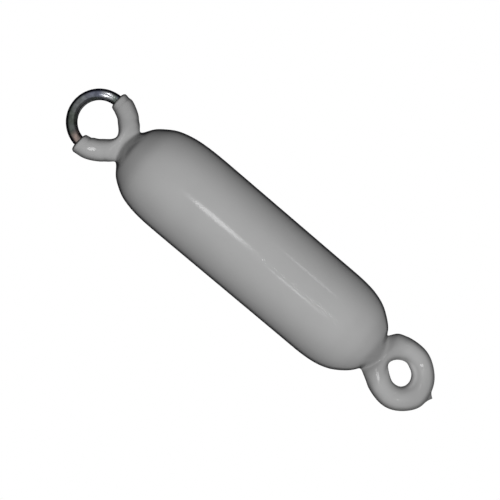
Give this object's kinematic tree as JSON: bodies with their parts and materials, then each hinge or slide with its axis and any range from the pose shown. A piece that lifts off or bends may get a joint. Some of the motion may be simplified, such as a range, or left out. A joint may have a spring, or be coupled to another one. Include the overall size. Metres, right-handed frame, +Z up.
{
  "type": "boat fender",
  "caption": "Cylindrical boat fender with rounded ends, dip-coated in grey vinyl, with a bare steel hanging eye on top and a coated eye below.",
  "frame": {"origin": "centre of the bare steel hanging eye on top", "axes": "+Z up along the fender as it hangs, +X in the plane of both eyes, +Y from the front to the back"},
  "size_m": [0.0851, 0.085, 0.3996],
  "materials": {
    "grey_vinyl": "glossy dipped vinyl",
    "bright_steel": "polished steel",
    "closed_cell_foam": "closed-cell foam"
  },
  "bodies": {
    "root": {"vinyl_coat": "grey_vinyl", "eye_rod": "bright_steel", "foam_core": "closed_cell_foam"}
  },
  "joints": []
}
